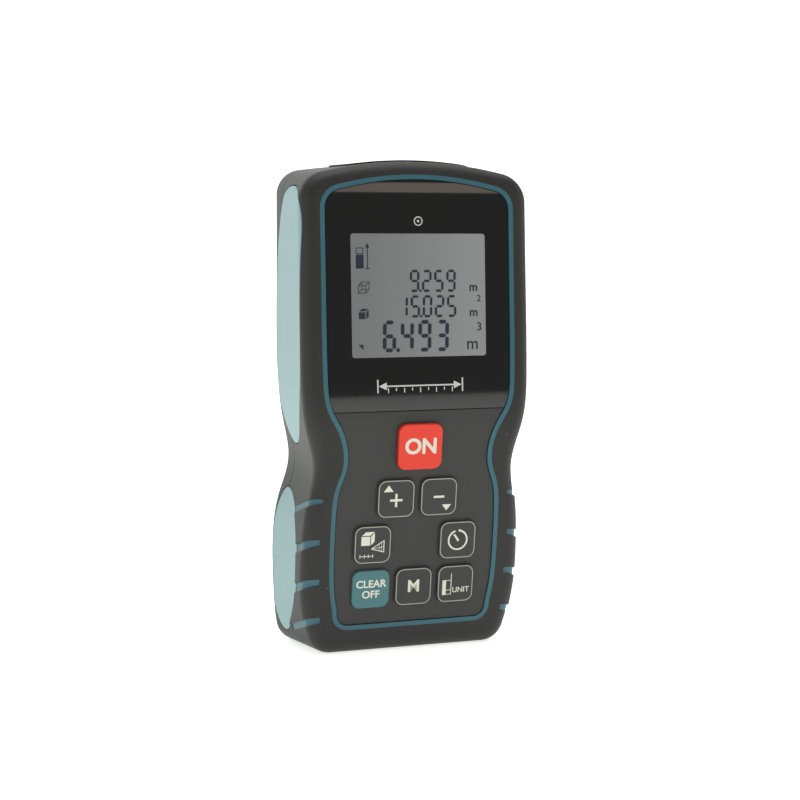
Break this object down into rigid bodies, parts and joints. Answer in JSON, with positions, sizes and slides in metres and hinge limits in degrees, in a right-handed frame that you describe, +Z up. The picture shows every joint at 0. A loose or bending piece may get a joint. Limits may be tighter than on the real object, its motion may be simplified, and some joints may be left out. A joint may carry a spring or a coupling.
{
  "type": "laser distance meter",
  "caption": "Handheld laser distance meter in a waisted rubber-gripped case, with display window, soft keypad, end optics, battery cover and fold-out end bracket.",
  "frame": {"origin": "middle of the bottom end on which the meter stands", "axes": "+X to the right as seen from the front, the display faces -Y, +Z is up and is the measuring direction"},
  "size_m": [0.057, 0.032, 0.117],
  "materials": {
    "brass": "turned",
    "cast_metal": "die cast",
    "cell_jacket": "printed film sleeve",
    "chip_epoxy": "moulded epoxy",
    "circuit_board": "solder mask",
    "core_plastic": "satin moulded plastic",
    "dome_film": "film with steel domes",
    "flex_film": "polyimide film",
    "foam": "closed cell foam",
    "grip_rubber": "matte elastomer overmould",
    "inner_plastic": "satin moulded plastic",
    "key_grey": "matte silicone",
    "key_red": "matte silicone",
    "key_teal": "matte silicone",
    "lcd": "liquid crystal panel",
    "light_guide": "clear moulded",
    "mat_rubber": "matte silicone",
    "optic_glass": "coated",
    "optics_black": "matte moulded",
    "panel_plastic": "satin moulded plastic",
    "plate_film": "label film",
    "seal_rubber": "moulded seal",
    "steel": "drawn",
    "window_plastic": "polished, printed black on the back",
    "zinc_screw": "plated"
  },
  "bodies": {
    "housing": {"backlight": "light_guide", "battery_1": "cell_jacket", "battery_2": "cell_jacket", "beam_window": "optic_glass", "board_chips": "chip_epoxy", "bracket_pin": "steel", "buzzer": "optics_black", "collimator_lens": "optic_glass", "contact_plates": "steel", "contact_springs": "steel", "cover_pin": "steel", "detector_board": "circuit_board", "display_window": "window_plastic", "dome_sheet": "dome_film", "flex_cable": "flex_film", "front_grip": "grip_rubber", "front_shell": "core_plastic", "housing_gasket": "seal_rubber", "keypad_board": "circuit_board", "keypad_mat": "mat_rubber", "laser_module": "brass", "lcd_connector": "seal_rubber", "lcd_frame": "inner_plastic", "lcd_glass": "lcd", "main_board": "circuit_board", "name_plate": "plate_film", "optics_bezel": "optics_black", "optics_frame": "cast_metal", "photo_detector": "steel", "rear_grip": "grip_rubber", "rear_shell": "inner_plastic", "receiver_lens": "optic_glass", "shell_screws": "zinc_screw", "side_panel_lower_left": "panel_plastic", "side_panel_lower_right": "panel_plastic", "side_panel_upper_left": "panel_plastic", "side_panel_upper_right": "panel_plastic", "strap_pin": "steel", "tilt_sensor": "chip_epoxy", "tripod_insert": "brass"},
    "key_clear_cap": {"key_clear": "key_teal"},
    "key_function_cap": {"key_function": "key_grey"},
    "key_memory_cap": {"key_memory": "key_grey"},
    "key_minus_cap": {"key_minus": "key_grey"},
    "key_on_cap": {"key_on": "key_red"},
    "key_plus_cap": {"key_plus": "key_grey"},
    "key_timer_cap": {"key_timer": "key_grey"},
    "key_unit_cap": {"key_unit": "key_grey"},
    "cover": {"battery_cover": "inner_plastic", "cover_gasket": "seal_rubber", "cover_pad": "foam"},
    "latch": {"battery_latch": "panel_plastic"},
    "bracket": {"positioning_bracket": "panel_plastic"}
  },
  "joints": [
    {"name": "key_clear_press", "type": "slide", "parent": "housing", "child": "key_clear_cap", "axis": [0, 0.9915, 0.1299], "range_m": [0, 0.0007], "stiffness_N_per_m": 1500, "springref_m": -0.0003},
    {"name": "key_function_press", "type": "slide", "parent": "housing", "child": "key_function_cap", "axis": [0, 0.9915, 0.1299], "range_m": [0, 0.0007], "stiffness_N_per_m": 1500, "springref_m": -0.0003},
    {"name": "key_memory_press", "type": "slide", "parent": "housing", "child": "key_memory_cap", "axis": [0, 0.9915, 0.1299], "range_m": [0, 0.0007], "stiffness_N_per_m": 1500, "springref_m": -0.0003},
    {"name": "key_minus_press", "type": "slide", "parent": "housing", "child": "key_minus_cap", "axis": [0, 0.9915, 0.1299], "range_m": [0, 0.0007], "stiffness_N_per_m": 1500, "springref_m": -0.0003},
    {"name": "key_on_press", "type": "slide", "parent": "housing", "child": "key_on_cap", "axis": [0, 0.9915, 0.1299], "range_m": [0, 0.0007], "stiffness_N_per_m": 1500, "springref_m": -0.0003},
    {"name": "key_plus_press", "type": "slide", "parent": "housing", "child": "key_plus_cap", "axis": [0, 0.9915, 0.1299], "range_m": [0, 0.0007], "stiffness_N_per_m": 1500, "springref_m": -0.0003},
    {"name": "key_timer_press", "type": "slide", "parent": "housing", "child": "key_timer_cap", "axis": [0, 0.9915, 0.1299], "range_m": [0, 0.0007], "stiffness_N_per_m": 1500, "springref_m": -0.0003},
    {"name": "key_unit_press", "type": "slide", "parent": "housing", "child": "key_unit_cap", "axis": [0, 0.9915, 0.1299], "range_m": [0, 0.0007], "stiffness_N_per_m": 1500, "springref_m": -0.0003},
    {"name": "cover_hinge", "type": "hinge", "parent": "housing", "child": "cover", "pos_m": [0, 0.0143, 0.0426], "axis": [-1, 0, 0], "range_deg": [0, 95]},
    {"name": "latch_slide", "type": "slide", "parent": "cover", "child": "latch", "axis": [0, 0, -1], "range_m": [0, 0.0022]},
    {"name": "bracket_hinge", "type": "hinge", "parent": "housing", "child": "bracket", "pos_m": [0, 0.0142, 0.0036], "axis": [-1, 0, 0], "range_deg": [0, 180]}
  ]
}
